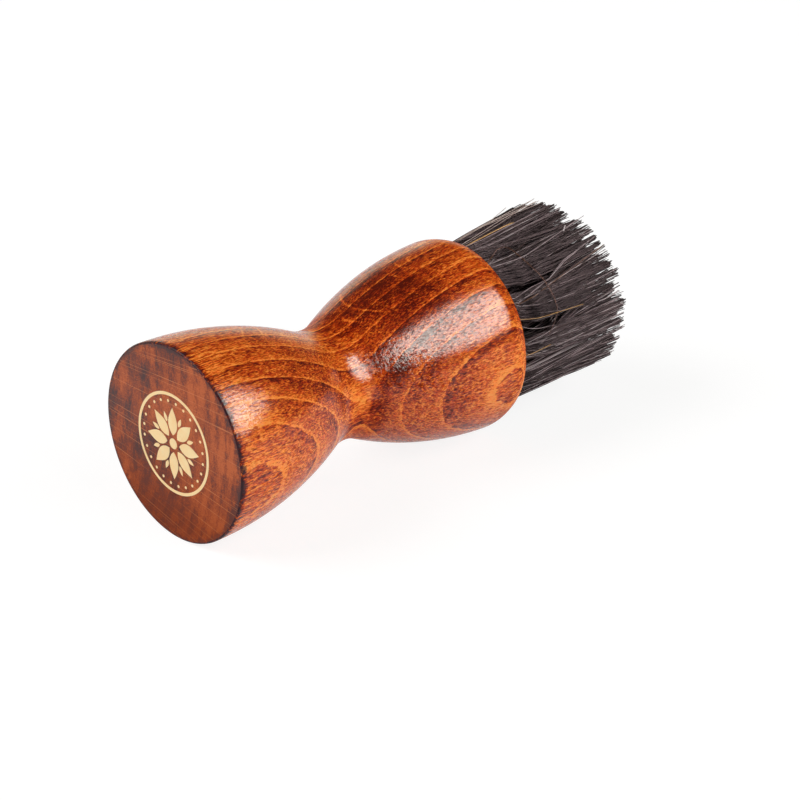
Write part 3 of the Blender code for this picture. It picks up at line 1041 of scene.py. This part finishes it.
def make_tuft(name, ring, angle, number, finish):
    """Single hairs over the plug that the CAD node has, as one piece."""
    rng = np.random.default_rng(TUFT_SEED + number)
    places, faces, maps, tones, browns = [], [], [], [], []
    first_hair = first_place = 0
    for paths, widths, pale, brown in hair_groups(rng, name, ring, angle):
        count, steps, _ = paths.shape
        points, quads, tips = tubes(paths, HAIR_RADIUS * widths)
        places += ((points + np.array([FACE_X, 0, AXIS_Z])) * MM).tolist()
        faces += (quads + first_place).tolist() + (tips + first_place).tolist()
        maps += cell_maps(first_hair, count, steps)
        # Inner tufts get painted shade, darker near the head.
        fade = np.array(INNER_PAINTED_SHADE) if ring < 2 else np.ones(steps)
        tones.append(np.repeat(np.outer(pale, fade).ravel(), HAIR_SIDES))
        browns.append(np.repeat(brown, steps * HAIR_SIDES))
        first_hair += count
        first_place += len(points)
    plug_places, plug_faces = root_plug(name)
    places += plug_places
    faces += [tuple(i + first_place for i in face) for face in plug_faces]
    maps.append(plug_map(plug_places, plug_faces))
    tones.append(np.full(len(plug_places), 0.15))
    browns.append(np.zeros(len(plug_places)))
    mesh = bpy.data.meshes.new(f"hair_{name}")
    mesh.from_pydata(places, [], faces)
    for key, values in (("pale", tones), ("brown", browns)):
        attribute = mesh.attributes.new(key, "FLOAT", "POINT")
        attribute.data.foreach_set("value", np.concatenate(values).astype(np.float32))
    bake_map(mesh, np.concatenate(maps))
    mesh.materials.append(finish)
    mesh.polygons.foreach_set("use_smooth", np.array([len(face) == 4 for face in faces]))
    obj = link(bpy.data.objects.new(f"hair_{name}", mesh))
    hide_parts(f"tuft_{name}")
    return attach(obj, "root")


def bake_map(mesh, places):
    """The piece's bake map, named OFBake."""
    layer = mesh.uv_layers.new(name="OFBake", do_init=False)
    layer.data.foreach_set("uv", np.asarray(places, np.float32).ravel())


def hair():
    """Black, grey and brown horsehair, uneven along each hair. The pale grey hairs are painted glints, and
    so in part is the unevenness.
    """
    n = material_nodes("horsehair")
    pale = n.add("Attribute", output="Fac", attribute_name="pale")
    brown = n.add("Attribute", output="Fac", attribute_name="brown")
    at = n.add("TexCoord", output="Object")
    # Paleness that changes along each hair, and the pale grey end of the ramp, are partly painted glints.
    pale += n.swing(at, (300.0, 3500.0, 3500.0), 2.0, shift=3.0) * 0.55
    grey = n.ramp(pale, [
        (0.0, (0.004, 0.0027, 0.0027)), (0.25, (0.016, 0.010, 0.0105)), (0.5, (0.080, 0.054, 0.056)),
        (0.75, (0.26, 0.20, 0.21)), (1.0, (0.52, 0.46, 0.47)),
    ])
    tan = n.ramp(pale, [
        (0.0, (0.012, 0.005, 0.003)), (0.35, (0.075, 0.030, 0.013)), (0.7, (0.34, 0.17, 0.055)),
        (1.0, (0.72, 0.42, 0.15)),
    ])
    shine = n.span(n.noise(at, (120.0, 5000.0, 5000.0), 1.0, shift=8.0), 0.3, 0.7, 0.22, 0.44)
    return n.look(
        Base_Color=n.mix(brown, grey, tan), Roughness=shine, Specular_IOR_Level=0.6,
        Specular_Tint=(1.0, 0.70, 0.77, 1.0),
    )


# The foil

def petal(reach, width, inner, steps=14):
    """[(out, across)] of one pointed petal's outline."""
    side = []
    for i in range(steps + 1):
        t = i / steps
        side.append((inner + (reach - inner) * t, width / 2 * math.sin(math.pi * t**0.8)))
    return np.array(side + [(out, -across) for out, across in reversed(side[1:-1])])


def rosette_outlines():
    """The rosette's petals, centre and beads."""
    outlines = []
    step = 2 * math.pi / PETALS
    for i in range(PETALS):
        outlines.append(rotated(petal(*LONG_PETAL), step * i))
        outlines.append(rotated(petal(*SHORT_PETAL), step * (i + 0.5)))
    outlines.append(circle(CENTRE_RADIUS, 32))
    bead = circle(BEAD_RADIUS, 16) + (BEAD_PLACE, 0.0)
    return outlines + [rotated(bead, 2 * math.pi * (i + 0.5) / BEADS) for i in range(BEADS)]


def make_rosette():
    """A plain rosette in a beaded ring, as flat foil on the flat end."""
    bm = bmesh.new()

    def loop(depth, outline):
        return [bm.verts.new(axis_point(depth, y, z)) for y, z in outline]

    def walls(a, b):
        for i in range(len(a)):
            j = (i + 1) % len(a)
            bm.faces.new((a[j], a[i], b[i], b[j]))

    for outline in rosette_outlines():
        under, top = loop(FOIL_SUNK, outline), loop(-FOIL_LIFT, outline)
        bm.faces.new(top)
        bm.faces.new(reversed(under))
        walls(top, under)
    inner, outer = (circle(radius, RING_SIDES) for radius in RING_RADII)
    loops = [
        loop(FOIL_SUNK, inner), loop(-FOIL_LIFT, inner), loop(-FOIL_LIFT, outer), loop(FOIL_SUNK, outer),
    ]
    for a, b in zip(loops, loops[1:] + loops[:1]):
        walls(a, b)
    obj = mesh_object("foil_rosette", bm)
    obj.data.materials.append(foil())
    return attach(obj, "root")


def foil():
    """Pale gold stamping foil, a little worn where the pores of the wood stay open."""
    n = material_nodes("gold_foil")
    at = wood_place(n)
    cloud = n.noise(at, (0.5, 0.5, 0.5), 2.0, shift=1.0)
    gold = n.ramp(cloud, [(0.3, (1.0, 0.69, 0.33)), (0.7, (1.0, 0.77, 0.43))])
    worn = n.span(n.noise(at, (1.0, 5.0, 2.2), 3.0, 0.7, shift=5.0), 0.66, 0.72)
    grain = n.noise(at, (1.0, 6.0, 2.5), 2.0, shift=9.0)
    return n.look(
        Base_Color=n.mix(worn, gold, (0.35, 0.12, 0.05, 1.0)), Metallic=0.05,
        Roughness=n.span(grain, 0.3, 0.7, 0.30, 0.48), Specular_IOR_Level=0.5,
        Normal=n.bump(grain, 0.000012),
    )


def steel():
    """Drawn steel wire with fine scratches."""
    n = material_nodes("anchor_wire")
    scratch = n.noise(n.add("TexCoord", output="Object"), (900.0, 9000.0, 900.0), 2.0)
    colour = n.ramp(scratch, [(0.3, (0.38, 0.38, 0.37)), (0.7, (0.62, 0.62, 0.60))])
    return n.look(Base_Color=colour, Metallic=1.0, Roughness=0.35, Normal=n.bump(scratch, 0.00001))


# The stage

def make_camera():
    data = bpy.data.cameras.new("camera")
    data.lens = CAMERA_LENS
    data.sensor_width = 36.0
    data.clip_start = 0.01
    data.clip_end = 20.0
    camera = link(bpy.data.objects.new("camera", data))
    turn = Matrix((CAMERA_RIGHT, CAMERA_UP, CAMERA_BACK)).transposed().to_4x4()
    place = axis_point(0, 0, 0) + CAMERA_FROM_FLAT_END * MM
    camera.matrix_world = Matrix.Translation(place) @ turn
    bpy.context.scene.camera = camera


def make_floor():
    """A pale floor that keeps the dauber's shadow, and shows nearly white to the camera."""
    mesh = bpy.data.meshes.new("floor")
    half = 3.0
    corners = [(-half, -half, 0), (half, -half, 0), (half, half, 0), (-half, half, 0)]
    mesh.from_pydata(corners, [], [(0, 1, 2, 3)])
    floor = link(bpy.data.objects.new("floor", mesh))
    n = material_nodes("floor")
    paper = n.add("TexNoise", {"Vector": n.add("TexCoord", output="Object"), "Scale": 300.0, "Detail": 2.0})
    colour = n.ramp(paper, [(0.3, (0.86, 0.86, 0.86)), (0.7, (0.88, 0.88, 0.88))])
    diffuse = n.add("BsdfDiffuse", {"Color": colour})
    glow = n.add("Emission", {"Color": WHITE, "Strength": 1.14})
    seen = n.add("LightPath", output="Is Camera Ray") * 0.75
    mirrored = n.add("LightPath", output="Is Glossy Ray") * 0.40
    share = n.math("MAXIMUM", seen, mirrored)
    n.show(n.add("MixShader", {0: share, 1: diffuse, 2: glow}), "Principled BSDF", "Material Output")
    mesh.materials.append(n.owner)


def make_world():
    """A studio that is dark overhead, with a pale wall behind the dauber. The camera sees plain white."""
    world = bpy.data.worlds.new("studio")
    bpy.context.scene.world = world
    n = Nodes(world)
    _, y, z = n.parts(n.add("TexCoord", output="Generated"))
    behind = n.span(y, 0.0, 0.9, 0.16, 1.45, smooth=True)
    level = n.span(z, 0.02, 0.38, behind, 0.06, smooth=True)
    studio = n.add("Background", {"Color": (1.0, 0.98, 0.72, 1), "Strength": level})
    white = n.add("Background", {"Color": WHITE, "Strength": 1.0})
    seen = n.add("LightPath", output="Is Camera Ray")
    n.show(n.add("MixShader", {0: seen, 1: studio, 2: white}), "Background", "World Output")


def make_lamp(name, azimuth, elevation, distance, width, height, power, colour, shape, left_out):
    """A softbox aimed at the middle of the handle."""
    data = bpy.data.lights.new(name, "AREA")
    data.shape = shape
    data.size = width
    data.size_y = height
    data.energy = power
    data.color = colour
    lamp = link(bpy.data.objects.new(name, data))
    a, e = math.radians(azimuth), math.radians(elevation)
    way = Vector((math.sin(a) * math.cos(e), -math.cos(a) * math.cos(e), math.sin(e)))
    lamp.location = axis_point(HANDLE_LENGTH / 2, 0, 0) + way * distance
    lamp.rotation_mode = "QUATERNION"
    lamp.rotation_quaternion = way.to_track_quat("Z", "Y")
    if left_out:
        setattr(lamp, left_out, False)


def main():
    make_camera()
    make_floor()
    make_world()
    for name, values in LAMPS.items():
        make_lamp(name, *values)
    make_handle(side_wood(), end_wood())
    make_rosette()
    finish = hair()
    for number, (name, ring, angle) in enumerate(tuft_places()):
        make_tuft(name, ring, angle, number, finish)
    wire = steel()
    for name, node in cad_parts.items():
        if name.startswith("anchor_"):
            node.data.materials.clear()
            node.data.materials.append(wire)
    bpy.context.scene.view_settings.view_transform = "Standard"


main()
